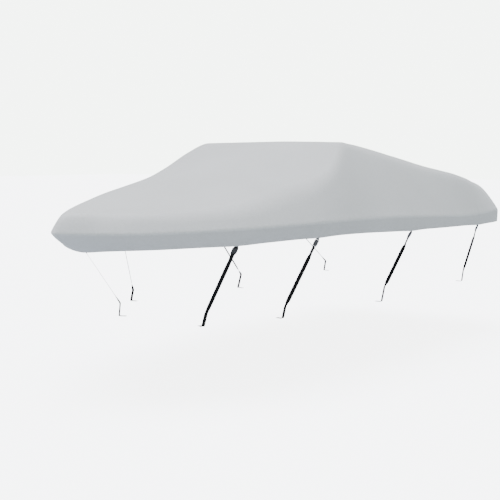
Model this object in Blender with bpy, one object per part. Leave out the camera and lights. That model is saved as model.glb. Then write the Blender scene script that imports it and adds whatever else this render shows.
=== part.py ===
"""Fitted, trailerable cover for a small runabout boat, hanging as it is stretched over the boat.

The boat and its trailer are left out.  Frame: origin where the top of the windshield holds the
cloth up (its underside, on the centreline), +X aft, +Y to starboard, +Z up.  Metres throughout.
Heights in the tables are above the ground under the trailer, and lengths are aft of the bow tip.
"""
import math

import bmesh
import bpy
import numpy as np
from mathutils import Vector

# ---------------------------------------------------------------- driving dimensions
CLOTH_THICKNESS = 0.0020       # coated woven polyester, with its thickness rounded up to a solid's
HEM_THICKNESS = 0.0036         # turned up and sewn double, a cord inside
TOP_HEIGHT = 1.843             # outside of the cloth over the middle of the windshield
TOP_AFT = 2.55                 # distance from the bow tip to that point
SUPPORT_HEIGHT = TOP_HEIGHT - CLOTH_THICKNESS
SPINE_FRONT, SPINE_AFT = 0.45, 4.35   # the centreline that the sections run up to
SEAT_GAP = 0.00035             # between pieces that touch

WEB_WIDTH = 0.032              # black polypropylene webbing
WEB_THICKNESS = 0.0018
TAB_HOLD = 0.024               # the tab's reach up inside the hem band, where it is sewn on
LOOP_REACH = 0.008             # the webbing's two layers part this far from the bar they go round
STRAP_TAIL = 0.050             # the strap's end, folded back round the plug's bar and sewn down
RAIL_TUCK = 0.060              # the strap's plain end, turned in under the trailer's side rail
TURN_REACH = 0.008             # how far from a corner the webbing starts to turn
LAYER_HALF = (WEB_THICKNESS + SEAT_GAP) / 2    # from a doubled webbing's middle to either layer's

# The side-release buckle: distances across from its centreline, along from the socket's bar
# (towards the strap), and out from its middle plane.
BAR_HALF = 0.0014              # half the square bar that webbing goes round
BUCKLE_HALF = 0.0230           # half the buckle's width
SLOT_HALF = 0.0172             # half a webbing slot's
SLOT_END = 0.0060              # the socket's slot ends, and its body begins
CAVITY_START = 0.0090
WINDOW_START, WINDOW_END = 0.0140, 0.0270
SOCKET_END = 0.0400            # the socket's mouth
CAVITY_HALF, CAVITY_OUT = 0.0205, 0.0032
SOCKET_OUT = 0.0055
ARM_INNER = 0.0150             # the plug's two springy arms
ARM_OUT = 0.0028
HOOK_HALF = 0.0224             # their hooked ends reach out into the windows
GUIDE_HALF = 0.0030            # the stiff tongue between them
PLUG_HALF, PLUG_OUT = 0.0222, 0.0046
PLUG_SLOT, PLUG_BAR = 0.0550, 0.0607

# One row for each section, from the bow round the side to the middle of the transom.
#   edge_x, edge_y, edge_z  the gunwale, where the cloth turns from the side panel down to the skirt
#   hem_aft, hem_in, hem_z  the hem: how far aft and inboard of the gunwale it is drawn, and its height
#   turn_in, turn_z         the shoulder: how far inside the gunwale, and how high, it turns to the top
#   turn_soft               how softly it turns there
#   steps                   faces from this row to the next
SECTION_COLUMNS = ("edge_x", "edge_y", "edge_z", "hem_aft", "hem_in", "hem_z",
                   "turn_in", "turn_z", "turn_soft", "fullness", "steps")
SECTION_ROWS = (
    (0.004, 0.000, 1.200, 0.262, 0.000, 1.050, 0.110, 1.334, 0.05, 0.42, 1),
    (0.042, 0.072, 1.199, 0.226, 0.028, 1.052, 0.110, 1.336, 0.05, 0.42, 2),
    (0.199, 0.240, 1.195, 0.106, 0.068, 1.062, 0.115, 1.330, 0.05, 0.34, 2),
    (0.503, 0.550, 1.200, 0.032, 0.050, 1.076, 0.122, 1.322, 0.05, 0.20, 2),
    (0.730, 0.733, 1.209, 0.018, 0.045, 1.086, 0.122, 1.336, 0.06, 0.18, 2),
    (0.980, 0.878, 1.217, 0.008, 0.042, 1.095, 0.115, 1.357, 0.07, 0.16, 2),
    (1.270, 0.985, 1.224, 0.000, 0.040, 1.104, 0.150, 1.415, 0.08, 0.16, 2),
    (1.580, 1.045, 1.229, 0.000, 0.035, 1.111, 0.190, 1.474, 0.08, 0.16, 2),
    (1.900, 1.078, 1.231, 0.000, 0.028, 1.113, 0.185, 1.533, 0.07, 0.16, 2),
    (2.130, 1.095, 1.231, 0.000, 0.024, 1.112, 0.215, 1.621, 0.06, 0.16, 2),
    (2.330, 1.105, 1.230, 0.000, 0.020, 1.108, 0.290, 1.744, 0.06, 0.16, 2),
    (2.500, 1.113, 1.229, 0.000, 0.018, 1.103, 0.360, 1.830, 0.07, 0.16, 2),
    (2.660, 1.120, 1.227, 0.000, 0.016, 1.097, 0.372, 1.820, 0.07, 0.16, 2),
    (2.900, 1.127, 1.220, 0.000, 0.015, 1.091, 0.360, 1.787, 0.08, 0.16, 2),
    (3.300, 1.132, 1.204, 0.000, 0.015, 1.083, 0.300, 1.713, 0.09, 0.16, 2),
    (3.750, 1.130, 1.185, 0.000, 0.015, 1.073, 0.230, 1.624, 0.09, 0.16, 2),
    (4.200, 1.130, 1.170, 0.000, 0.015, 1.066, 0.160, 1.555, 0.09, 0.16, 2),
    (4.580, 1.131, 1.182, 0.000, 0.012, 1.063, 0.160, 1.492, 0.09, 0.22, 1),
    (4.820, 1.122, 1.196, -0.002, 0.004, 1.066, 0.225, 1.473, 0.08, 0.36, 2),
    (4.970, 1.074, 1.182, -0.004, 0.004, 1.066, 0.240, 1.468, 0.08, 0.38, 2),
    (5.040, 0.935, 1.182, -0.010, 0.000, 1.064, 0.260, 1.474, 0.09, 0.38, 2),
    (5.055, 0.500, 1.182, -0.015, 0.000, 1.060, 0.260, 1.478, 0.09, 0.30, 3),
    (5.060, 0.000, 1.182, -0.015, 0.000, 1.060, 0.260, 1.480, 0.09, 0.30, 0),
)

# Height of the cloth along the centreline, where it is stretched from the bow over the windshield
# to the stern.
CROWN_COLUMNS = ("x", "z")
CROWN_ROWS = (
    (0.45, 1.325), (0.75, 1.360), (1.10, 1.423), (1.50, 1.517), (1.85, 1.607),
    (2.13, 1.697), (2.36, 1.790), (2.55, TOP_HEIGHT), (2.75, 1.838), (3.10, 1.787),
    (3.60, 1.687), (4.05, 1.592), (4.35, 1.532),
)

# One row for each strap of a side.
#   hem_x                   where it leaves the hem
#   drop                    how far below the hem the buckle's first bar hangs
#   rail_x, rail_y, rail_z  the rail's top outer edge, where the strap turns over it
#   splay                   how much the rail splays there, side over aft
#   depth, slant            the strap's run down the rail's face, and forward in doing so
STRAP_COLUMNS = ("name", "hem_x", "drop", "rail_x", "rail_y", "rail_z", "splay", "depth", "slant")
STRAP_ROWS = (
    ("bow", 0.958, 0.0150, 1.083, 0.438, 0.560, 0.45, 0.098, 0.030),
    ("forward", 1.700, 0.0120, 1.606, 0.789, 0.578, 0.10, 0.087, 0.029),
    ("mid", 3.037, 0.0095, 3.149, 0.795, 0.565, 0.00, 0.125, 0.050),
    ("stern", 4.400, 0.0095, 4.740, 0.820, 0.560, 0.00, 0.100, 0.030),
)
SIDES = (("port", -1.0), ("starboard", 1.0))

HEM_DIP = 0.006                # each strap pulls the hem down by this much
HEM_DIP_REACH = 0.16
FACET_HALF = 0.025             # half the flat length of hem at each strap


# ---------------------------------------------------------------- small tools
def column(rows, columns, name):
    """One named column of a table."""
    return np.array([row[columns.index(name)] for row in rows])


def smooth(keys, values, at):
    """A smooth curve through the values at their keys, read at the places asked for."""
    slopes = np.gradient(values, keys)
    index = np.clip(np.searchsorted(keys, at, side="right") - 1, 0, len(keys) - 2)
    span = keys[index + 1] - keys[index]
    t = (at - keys[index]) / span
    rise = slopes[index] * span
    fall = slopes[index + 1] * span
    return ((2 * t**3 - 3 * t**2 + 1) * values[index] + (t**3 - 2 * t**2 + t) * rise
            + (3 * t**2 - 2 * t**3) * values[index + 1] + (t**3 - t**2) * fall)


def place(aft, side, height):
    """A point of the tables in the part's own frame."""
    return Vector((aft - TOP_AFT, side, height - SUPPORT_HEIGHT))


def material(name, color, roughness):
    made = bpy.data.materials.new(name)
    made.use_nodes = True
    shader = made.node_tree.nodes["Principled BSDF"]
    shader.inputs["Base Color"].default_value = (*color, 1.0)
    shader.inputs["Roughness"].default_value = roughness
    shader.inputs["Metallic"].default_value = 0.0
    return made


def object_from(mesh_data, name, finish):
    mesh = bpy.data.meshes.new(name)
    mesh_data.to_mesh(mesh)
    mesh_data.free()
    made = bpy.data.objects.new(name, mesh)
    bpy.context.scene.collection.objects.link(made)
    mesh.materials.append(finish)
    return made


# ---------------------------------------------------------------- the cloth
class Sections:
    """The section table as smooth curves, along the gunwale from the bow to the transom."""

    def __init__(self):
        x = column(SECTION_ROWS, SECTION_COLUMNS, "edge_x")
        y = column(SECTION_ROWS, SECTION_COLUMNS, "edge_y")
        lengths = np.hypot(np.diff(x), np.diff(y))
        self.rows_at = np.concatenate(([0.0], np.cumsum(lengths)))
        end = self.rows_at[-1]
        self.keys = np.concatenate(([-self.rows_at[1]], self.rows_at, [2 * end - self.rows_at[-2]]))

    def read(self, name, at):
        values = column(SECTION_ROWS, SECTION_COLUMNS, name)
        mirror = -1.0 if name in ("edge_y", "hem_in") else 1.0
        values = np.concatenate(([mirror * values[1]], values, [mirror * values[-2]]))
        return smooth(self.keys, values, np.asarray(at, dtype=float))

    def stations(self):
        """The places of all the sections, with a flat facet of the skirt for each strap's tab."""
        steps = column(SECTION_ROWS, SECTION_COLUMNS, "steps").astype(int)
        places = []
        for index, count in enumerate(steps[:-1]):
            share = np.arange(count) / count
            places.extend(self.rows_at[index] + share * (self.rows_at[index + 1] - self.rows_at[index]))
        places.append(self.rows_at[-1])
        for row in STRAP_ROWS:
            middle = self.strap_station(row)
            places = [at for at in places if abs(at - middle) > 2 * FACET_HALF]
            places += [middle - FACET_HALF, middle + FACET_HALF]
        return np.array(sorted(places))

    def strap_station(self, row):
        """The place along the gunwale of the hem point where a strap is sewn on."""
        hem_x = row[STRAP_COLUMNS.index("hem_x")]
        low, high = self.rows_at[1], self.rows_at[-3]
        for _ in range(40):
            middle = (low + high) / 2
            if self.hem(middle)[0] < hem_x:
                low = middle
            else:
                high = middle
        return (low + high) / 2

    def hem(self, at):
        """Aft, side and height of the hem at one place along the gunwale."""
        x = self.read("edge_x", at) + self.read("hem_aft", at)
        y = self.read("edge_y", at) - self.read("hem_in", at)
        dip = sum(HEM_DIP * math.exp(-((x - hem_x) / HEM_DIP_REACH) ** 2)
                  for hem_x in column(STRAP_ROWS, STRAP_COLUMNS, "hem_x").astype(float))
        return x, y, self.read("hem_z", at) - dip

    def edge(self, at):
        return self.read("edge_x", at), self.read("edge_y", at), self.read("edge_z", at)


def crown_height(x):
    keys = column(CROWN_ROWS, CROWN_COLUMNS, "x")
    return smooth(keys, column(CROWN_ROWS, CROWN_COLUMNS, "z"), np.array(x, dtype=float))


def soft_least(a, b, softness):
    """The lesser of two heights, with the corner between them rounded."""
    overlap = max(softness - abs(a - b), 0.0) / softness
    return min(a, b) - overlap * overlap * softness / 4


def side_height(share, rise, fullness):
    """Height of the side panel above the gunwale, which stands a little off a straight pull."""
    if share > 1.0:
        return rise * (1.0 + (1.0 - fullness) * (share - 1.0))
    return rise * share * (1.0 + fullness * (1.0 - share))


SKIRT_SHARES = (0.72, 0.40, 0.10)              # of the way down from the gunwale to the hem
SKIRT_BULGE = 0.50                             # how roundly the skirt goes in over the raked bow
PANEL_SHARES = (0.0, 0.08, 0.36, 0.68)         # of the side panel, below the rounded shoulder
TURN_SHARES = (-1.0, -0.5, 0.0, 0.5, 1.0)      # of the shoulder's rounding
TOP_SHARES = (0.16, 0.36, 0.60, 0.82, 1.0)     # of the top, from the shoulder to the centreline


def section_points(sections, at):
    """One section of the cloth, from its hem up to the centreline."""
    hem = np.array(sections.hem(at), dtype=float)
    edge = np.array(sections.edge(at), dtype=float)
    points = [hem]
    for share in SKIRT_SHARES:
        point = edge + (hem - edge) * share
        point[:2] -= (hem - edge)[:2] * SKIRT_BULGE * share * (1 - share)
        points.append(point)

    spine_x = min(max(edge[0], SPINE_FRONT), SPINE_AFT)
    crown = float(crown_height(spine_x))
    across = np.array([spine_x - edge[0], -edge[1]])
    reach = np.linalg.norm(across)
    across /= reach
    turn_in, turn_z = float(sections.read("turn_in", at)), float(sections.read("turn_z", at))
    softness = float(sections.read("turn_soft", at))
    fullness = float(sections.read("fullness", at))
    rise = turn_z - edge[2]
    rounding = min(softness * turn_in / (rise * (1.0 - fullness)), 0.55 * turn_in)

    places = [share * (turn_in - rounding) for share in PANEL_SHARES]
    places += [turn_in + share * rounding for share in TURN_SHARES]
    inner = turn_in + rounding
    places += [inner + share * (reach - inner) for share in TOP_SHARES]
    for q in places:
        panel = edge[2] + side_height(q / turn_in, rise, fullness)
        top = crown - (crown - turn_z) * ((reach - q) / (reach - turn_in)) ** 2
        height = soft_least(panel, top, softness) if q < inner else min(panel, top)
        points.append(np.array([edge[0] + across[0] * q, edge[1] + across[1] * q, height]))
    return points


def build_cover(sections, finish):
    """The cloth: one sheet, hem and all, given its thickness inwards."""
    half = [section_points(sections, at) for at in sections.stations()]
    mesh_data = bmesh.new()
    loops = []
    for points in half:
        loops.append([mesh_data.verts.new(place(x, -y, z)) for x, y, z in points])
    for points in reversed(half[1:-1]):
        loops.append([mesh_data.verts.new(place(x, y, z)) for x, y, z in points])
    count = len(loops)
    for index in range(count):
        here, after = loops[index], loops[(index + 1) % count]
        for ring in range(len(here) - 1):
            corners = (here[ring], after[ring], after[ring + 1], here[ring + 1])
            mesh_data.faces.new(corners)
    hem_verts = [loop[ring].co.copy() for loop in loops for ring in (0, 1)]
    bmesh.ops.remove_doubles(mesh_data, verts=mesh_data.verts, dist=0.00005)
    bmesh.ops.dissolve_degenerate(mesh_data, edges=mesh_data.edges, dist=0.00001)
    bmesh.ops.recalc_face_normals(mesh_data, faces=mesh_data.faces)
    cover = object_from(mesh_data, "cover", finish)

    thick = cover.vertex_groups.new(name="hem")
    hem_keys = {tuple(round(value, 5) for value in co) for co in hem_verts}
    for vertex in cover.data.vertices:
        if tuple(round(value, 5) for value in vertex.co) in hem_keys:
            thick.add([vertex.index], 1.0, "REPLACE")
    wall = cover.modifiers.new("thickness", "SOLIDIFY")
    wall.thickness = HEM_THICKNESS
    wall.offset = -1.0
    wall.use_even_offset = True
    wall.vertex_group = "hem"
    wall.thickness_vertex_group = CLOTH_THICKNESS / HEM_THICKNESS
    cover.data.shade_smooth()
    return cover


# ---------------------------------------------------------------- straps and buckles
class Lay:
    """How one strap lies: its line of pull from the hem, with its own across and outward ways."""

    def __init__(self, sections, row, side):
        fields = dict(zip(STRAP_COLUMNS, row))
        middle = sections.strap_station(row)
        low, high = [], []
        for at in (middle - FACET_HALF, middle + FACET_HALF):
            hem, band = section_points(sections, at)[:2]
            low.append(place(hem[0], side * hem[1], hem[2]))
            high.append(place(band[0], side * band[1], band[2]))
        rise = (high[0] + high[1] - low[0] - low[1]).normalized()
        facing = (low[1] - low[0]).cross(rise).normalized()
        if facing.y * side < 0:
            facing.negate()
        inward = HEM_THICKNESS + SEAT_GAP + WEB_THICKNESS + SEAT_GAP / 2
        hem_middle = (low[0] + low[1]) / 2 - facing * inward
        self.rail = place(fields["rail_x"], side * fields["rail_y"], fields["rail_z"])
        self.rail_wide = Vector((1.0, side * fields["splay"], 0.0)).normalized()
        self.rail_face = Vector((-fields["slant"], 0.0, -fields["depth"]))
        self.down = (self.rail - hem_middle).normalized()
        self.wide = facing.cross(self.down).normalized()
        if self.wide.x < 0:
            self.wide.negate()
        self.out = self.wide.cross(self.down).normalized()
        if self.out.y * side < 0:
            self.out.negate()
        self.sewn = (self.down - facing * self.down.dot(facing)).normalized()
        self.facing = facing
        self.hem_middle = hem_middle
        self.bar = hem_middle + self.down * fields["drop"]

    def at(self, across, along, out):
        """A point from the buckle's own measurements."""
        return self.bar + self.wide * across + self.down * along + self.out * out


def turned(points, reach):
    """The same run of points, with each corner in it rounded off."""
    rounded = [points[0]]
    for before, corner, after in zip(points, points[1:], points[2:]):
        start = corner + (before - corner).normalized() * reach
        end = corner + (after - corner).normalized() * reach
        rounded += [start, (start + 2 * corner + end) / 4, end]
    return rounded + [points[-1]]


def ribbon(name, centres, wides, finish):
    """A run of webbing along its centres, with its width lying along the given way at each."""
    mesh_data = bmesh.new()
    rows = []
    for index, centre in enumerate(centres):
        before = centre - centres[index - 1] if index else centres[1] - centre
        after = centres[index + 1] - centre if index + 1 < len(centres) else before
        wide = wides[index]
        face_before = before.cross(wide).normalized()
        face_after = after.cross(wide).normalized()
        out = (face_before + face_after) / (1 + face_before.dot(face_after)) * WEB_THICKNESS / 2
        half = wide * WEB_WIDTH / 2
        corners = (centre + out - half, centre + out + half, centre - out + half, centre - out - half)
        rows.append([mesh_data.verts.new(corner) for corner in corners])
    for here, after in zip(rows, rows[1:]):
        for index in range(4):
            beside = (index + 1) % 4
            mesh_data.faces.new((here[index], after[index], after[beside], here[beside]))
    mesh_data.faces.new(rows[0])
    mesh_data.faces.new(reversed(rows[-1]))
    bmesh.ops.recalc_face_normals(mesh_data, faces=mesh_data.faces)
    made = object_from(mesh_data, name, finish)
    made.data.shade_smooth()
    return made


def loop_round_bar(lay, along, towards):
    """Centres of webbing led round the bar at along: up to it, round it and away again.

    towards is +1 when the two layers leave the bar down the strap, or -1 when they leave it
    up towards the hem."""
    radius = BAR_HALF * 1.5 + SEAT_GAP + WEB_THICKNESS / 2
    tangent = (math.asin(radius / math.hypot(LOOP_REACH, LAYER_HALF))
               - math.atan2(LAYER_HALF, LOOP_REACH))
    centres = [(LOOP_REACH, -LAYER_HALF)]
    for step in range(7):
        angle = -tangent + (math.pi + 2 * tangent) * step / 6
        centres.append((-radius * math.sin(angle), -radius * math.cos(angle)))
    centres.append((LOOP_REACH, LAYER_HALF))
    return [lay.at(0.0, along + towards * run, out) for run, out in centres]


def build_tab(name, lay, finish):
    """Webbing sewn inside the hem band, folded round the socket's bar."""
    top = lay.hem_middle - lay.sewn * TAB_HOLD
    bend = (lay.facing + lay.out) / (1 + lay.facing.dot(lay.out)) * LAYER_HALF
    centres = [top - lay.facing * LAYER_HALF, lay.hem_middle - bend]
    centres += loop_round_bar(lay, 0.0, -1.0)
    centres += [lay.hem_middle + bend, top + lay.facing * LAYER_HALF]
    return ribbon(name, centres, [lay.wide] * len(centres), finish)


def build_strap(name, lay, finish):
    """Webbing folded round the plug's bar, taut down to the rail, and turned in under it."""
    loop = loop_round_bar(lay, PLUG_BAR, 1.0)
    tail = lay.at(0.0, PLUG_BAR + STRAP_TAIL, -LAYER_HALF)
    leave = lay.at(0.0, PLUG_BAR + STRAP_TAIL + 0.006, LAYER_HALF)
    inward = lay.rail_wide.cross(Vector((0, 0, 1)))
    if inward.dot(lay.out) > 0:
        inward.negate()
    low = lay.rail + lay.rail_face - inward * inward.dot(lay.rail_face)
    tucked = low + inward * RAIL_TUCK
    run = turned([leave, lay.rail, low, tucked], TURN_REACH)
    span = [leave.lerp(run[1], share / 6) for share in range(1, 6)]
    twist = [lay.wide.lerp(lay.rail_wide, share / 6).normalized() for share in range(1, 6)]
    centres = [tail] + loop + [leave] + span + run[1:]
    wides = [lay.wide] * (len(loop) + 2) + twist + [lay.rail_wide] * (len(run) - 1)
    return ribbon(name, centres, wides, finish)


def blocks(name, lay, cuts, filled, finish):
    """A moulded piece as the filled cells between its cuts across, along and out."""
    across, along, out = cuts
    mesh_data = bmesh.new()
    corners = {}

    def corner(i, j, k):
        if (i, j, k) not in corners:
            corners[i, j, k] = mesh_data.verts.new(lay.at(across[i], along[j], out[k]))
        return corners[i, j, k]

    def solid(i, j, k):
        inside = 0 <= i < len(across) - 1 and 0 <= j < len(along) - 1 and 0 <= k < len(out) - 1
        if not inside:
            return False
        middle = ((across[i] + across[i + 1]) / 2, (along[j] + along[j + 1]) / 2,
                  (out[k] + out[k + 1]) / 2)
        return any(all(low < value < high for low, value, high in zip(box[::2], middle, box[1::2]))
                   for box in filled)

    steps = ((1, 0, 0), (0, 1, 0), (0, 0, 1))
    for i in range(-1, len(across) - 1):
        for j in range(-1, len(along) - 1):
            for k in range(-1, len(out) - 1):
                for axis, (di, dj, dk) in enumerate(steps):
                    if solid(i, j, k) == solid(i + di, j + dj, k + dk):
                        continue
                    first = (i + di, j + dj, k + dk)
                    one, two = steps[(axis + 1) % 3], steps[(axis + 2) % 3]
                    ring = [first, tuple(map(sum, zip(first, one))),
                            tuple(map(sum, zip(first, one, two))), tuple(map(sum, zip(first, two)))]
                    mesh_data.faces.new([corner(*place_of) for place_of in ring])
    bmesh.ops.recalc_face_normals(mesh_data, faces=mesh_data.faces)
    bmesh.ops.dissolve_limit(mesh_data, angle_limit=0.01, verts=mesh_data.verts,
                             edges=mesh_data.edges)
    return object_from(mesh_data, name, finish)


def mirrored(values):
    return sorted({-value for value in values} | set(values))


def both(low, high, *rest):
    """The same cell on either side of the buckle's centreline."""
    return [(low, high, *rest), (-high, -low, *rest)]


def build_socket(name, lay, finish):
    """Female half: a bar for the tab, and a hollow body with a mouth and two side windows."""
    cuts = (mirrored((SLOT_HALF, CAVITY_HALF, BUCKLE_HALF)),
            [-BAR_HALF, BAR_HALF, SLOT_END, CAVITY_START, WINDOW_START, WINDOW_END, SOCKET_END],
            mirrored((BAR_HALF, CAVITY_OUT, SOCKET_OUT)))
    thin, wall, all_out = (-BAR_HALF, BAR_HALF), (CAVITY_OUT, SOCKET_OUT), (-SOCKET_OUT, SOCKET_OUT)
    filled = [(-BUCKLE_HALF, BUCKLE_HALF, -BAR_HALF, BAR_HALF, *thin),
              (-BUCKLE_HALF, BUCKLE_HALF, SLOT_END, CAVITY_START, *all_out),
              (-BUCKLE_HALF, BUCKLE_HALF, CAVITY_START, SOCKET_END, *wall),
              (-BUCKLE_HALF, BUCKLE_HALF, CAVITY_START, SOCKET_END, -wall[1], -wall[0])]
    filled += both(SLOT_HALF, BUCKLE_HALF, BAR_HALF, SLOT_END, *thin)
    filled += both(CAVITY_HALF, BUCKLE_HALF, CAVITY_START, WINDOW_START, *all_out)
    filled += both(CAVITY_HALF, BUCKLE_HALF, WINDOW_END, SOCKET_END, *all_out)
    return blocks(name, lay, cuts, filled, finish)


def build_plug(name, lay, finish):
    """Male half: two hooked arms and a tongue in the socket, and a bar for the strap."""
    tip, hook_end = WINDOW_START + 2 * SEAT_GAP, WINDOW_END - 2 * SEAT_GAP
    shoulder = SOCKET_END + SEAT_GAP
    arm_outer = CAVITY_HALF - SEAT_GAP
    cuts = (mirrored((GUIDE_HALF, ARM_INNER, SLOT_HALF, arm_outer, PLUG_HALF, HOOK_HALF)),
            [tip, hook_end, shoulder, PLUG_SLOT, PLUG_BAR - BAR_HALF, PLUG_BAR + BAR_HALF],
            mirrored((BAR_HALF, ARM_OUT, PLUG_OUT)))
    thin, arm, body = (-BAR_HALF, BAR_HALF), (-ARM_OUT, ARM_OUT), (-PLUG_OUT, PLUG_OUT)
    filled = [(-GUIDE_HALF, GUIDE_HALF, hook_end, shoulder, *arm),
              (-PLUG_HALF, PLUG_HALF, shoulder, PLUG_SLOT, *body),
              (-PLUG_HALF, PLUG_HALF, PLUG_BAR - BAR_HALF, PLUG_BAR + BAR_HALF, *thin)]
    filled += both(ARM_INNER, arm_outer, tip, shoulder, *arm)
    filled += both(ARM_INNER, HOOK_HALF, tip, hook_end, *arm)
    filled += both(SLOT_HALF, PLUG_HALF, PLUG_SLOT, PLUG_BAR - BAR_HALF, *thin)
    return blocks(name, lay, cuts, filled, finish)


# ---------------------------------------------------------------- main
for old in list(bpy.data.objects):
    bpy.data.objects.remove(old)

cloth = material("cover_cloth", (0.55, 0.57, 0.57), 0.9)
webbing = material("black_webbing", (0.02, 0.02, 0.02), 0.85)
plastic = material("black_plastic", (0.015, 0.015, 0.015), 0.45)

sections = Sections()
build_cover(sections, cloth)
for side_name, side_sign in SIDES:
    for strap_row in STRAP_ROWS:
        lay = Lay(sections, strap_row, side_sign)
        label = f"{side_name}_{strap_row[0]}"
        build_tab(f"tab_{label}", lay, webbing)
        build_socket(f"socket_{label}", lay, plastic)
        build_plug(f"plug_{label}", lay, plastic)
        build_strap(f"strap_{label}", lay, webbing)
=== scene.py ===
"""A fitted, trailerable cover for a small runabout boat, stretched as over the boat it belongs to.

Metres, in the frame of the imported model: origin where the windshield's top holds the cloth up,
+X aft, +Y to starboard, +Z up.
"""
import math

import bmesh
import bpy
import numpy as np
from mathutils import Matrix, Vector, noise


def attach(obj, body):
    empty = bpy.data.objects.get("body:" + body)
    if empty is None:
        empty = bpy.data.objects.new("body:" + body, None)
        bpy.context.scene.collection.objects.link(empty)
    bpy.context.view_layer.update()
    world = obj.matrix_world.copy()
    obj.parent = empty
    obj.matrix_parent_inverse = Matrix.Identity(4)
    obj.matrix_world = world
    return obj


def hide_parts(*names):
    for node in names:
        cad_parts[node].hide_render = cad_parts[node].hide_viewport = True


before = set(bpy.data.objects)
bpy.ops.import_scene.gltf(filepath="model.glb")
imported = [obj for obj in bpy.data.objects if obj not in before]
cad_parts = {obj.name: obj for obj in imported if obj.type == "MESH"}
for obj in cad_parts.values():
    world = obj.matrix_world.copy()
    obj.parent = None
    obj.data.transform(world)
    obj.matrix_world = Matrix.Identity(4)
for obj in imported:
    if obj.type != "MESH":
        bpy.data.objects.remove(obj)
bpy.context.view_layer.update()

# ---------------------------------------------------------------- cover cloth
# The cover is one shaped cloth of coated, woven grey polyester, pulled down over the bow, the
# windshield and the transom of the boat. Its edge is turned up inside round a thin cord and sewn,
# and the straps' tabs are sewn inside that hem.
TOP_HEIGHT, TOP_AFT = 1.843, 2.55
CAD_CLOTH = 0.0020
SUPPORT_HEIGHT = TOP_HEIGHT - CAD_CLOTH
SPINE_FRONT, SPINE_AFT = 0.45, 4.35
CLOTH_THICKNESS = 0.0009
HEM_THICKNESS = 0.0036
HEM_TURN_UP = 0.026
HEM_LEAN_SHARE = 0.72

# From the bow round the side to the middle of the transom, a row for each section. Lengths are aft
# of the bow tip and heights above the ground under the trailer.
SECTION_COLUMNS = ("edge_x", "edge_y", "edge_z", "hem_aft", "hem_in", "hem_z",
                   "turn_in", "turn_z", "turn_soft", "fullness")
SECTION_ROWS = (
    (0.004, 0.000, 1.200, 0.262, 0.000, 1.050, 0.110, 1.334, 0.05, 0.42),
    (0.042, 0.072, 1.199, 0.226, 0.028, 1.052, 0.110, 1.336, 0.05, 0.42),
    (0.199, 0.240, 1.195, 0.106, 0.068, 1.062, 0.115, 1.330, 0.05, 0.34),
    (0.503, 0.550, 1.200, 0.032, 0.050, 1.076, 0.122, 1.322, 0.05, 0.20),
    (0.730, 0.733, 1.209, 0.018, 0.045, 1.086, 0.122, 1.336, 0.06, 0.18),
    (0.980, 0.878, 1.217, 0.008, 0.042, 1.095, 0.115, 1.357, 0.07, 0.16),
    (1.270, 0.985, 1.224, 0.000, 0.040, 1.104, 0.150, 1.415, 0.08, 0.16),
    (1.580, 1.045, 1.229, 0.000, 0.035, 1.111, 0.190, 1.474, 0.08, 0.16),
    (1.900, 1.078, 1.231, 0.000, 0.028, 1.113, 0.185, 1.533, 0.07, 0.16),
    (2.130, 1.095, 1.231, 0.000, 0.024, 1.112, 0.215, 1.621, 0.06, 0.16),
    (2.330, 1.105, 1.230, 0.000, 0.020, 1.108, 0.290, 1.744, 0.06, 0.16),
    (2.500, 1.113, 1.229, 0.000, 0.018, 1.103, 0.360, 1.830, 0.07, 0.16),
    (2.660, 1.120, 1.227, 0.000, 0.016, 1.097, 0.372, 1.820, 0.07, 0.16),
    (2.900, 1.127, 1.220, 0.000, 0.015, 1.091, 0.360, 1.787, 0.08, 0.16),
    (3.300, 1.132, 1.204, 0.000, 0.015, 1.083, 0.300, 1.713, 0.09, 0.16),
    (3.750, 1.130, 1.185, 0.000, 0.015, 1.073, 0.230, 1.624, 0.09, 0.16),
    (4.200, 1.130, 1.170, 0.000, 0.015, 1.066, 0.160, 1.555, 0.09, 0.16),
    (4.580, 1.131, 1.182, 0.000, 0.012, 1.063, 0.160, 1.492, 0.09, 0.22),
    (4.820, 1.122, 1.196, -0.002, 0.004, 1.066, 0.225, 1.473, 0.08, 0.36),
    (4.970, 1.074, 1.182, -0.004, 0.004, 1.066, 0.240, 1.468, 0.08, 0.38),
    (5.040, 0.935, 1.182, -0.010, 0.000, 1.064, 0.260, 1.474, 0.09, 0.38),
    (5.055, 0.500, 1.182, -0.015, 0.000, 1.060, 0.260, 1.478, 0.09, 0.30),
    (5.060, 0.000, 1.182, -0.015, 0.000, 1.060, 0.260, 1.480, 0.09, 0.30),
)
CROWN_COLUMNS = ("x", "z")
CROWN_ROWS = (
    (0.45, 1.325), (0.75, 1.360), (1.10, 1.423), (1.50, 1.517), (1.85, 1.607),
    (2.13, 1.697), (2.36, 1.790), (2.55, TOP_HEIGHT), (2.75, 1.838), (3.10, 1.787),
    (3.60, 1.687), (4.05, 1.592), (4.35, 1.532),
)
# Where each strap of a side pulls at the hem, where it turns over the trailer's rail, and by how
# many degrees its webbing has turned towards the bow along its free run.
STRAP_COLUMNS = ("name", "hem_x", "drop", "rail_x", "rail_y", "rail_z", "splay", "depth", "slant",
                 "turn")
STRAP_ROWS = (
    ("bow", 0.958, 0.0150, 1.083, 0.438, 0.560, 0.45, 0.098, 0.030, 17.0),
    ("forward", 1.700, 0.0120, 1.606, 0.789, 0.578, 0.10, 0.087, 0.029, 43.0),
    ("mid", 3.037, 0.0095, 3.149, 0.795, 0.565, 0.00, 0.125, 0.050, 60.0),
    ("stern", 4.400, 0.0095, 4.740, 0.820, 0.560, 0.00, 0.100, 0.030, 24.0),
)
SIDES = (("port", -1.0), ("starboard", 1.0))
HEM_DIP, HEM_DIP_REACH = 0.006, 0.16
FACET_HALF = 0.025
SKIRT_BULGE = 0.50


def column(rows, columns, name):
    """One named column of a table."""
    return np.array([row[columns.index(name)] for row in rows])


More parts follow.
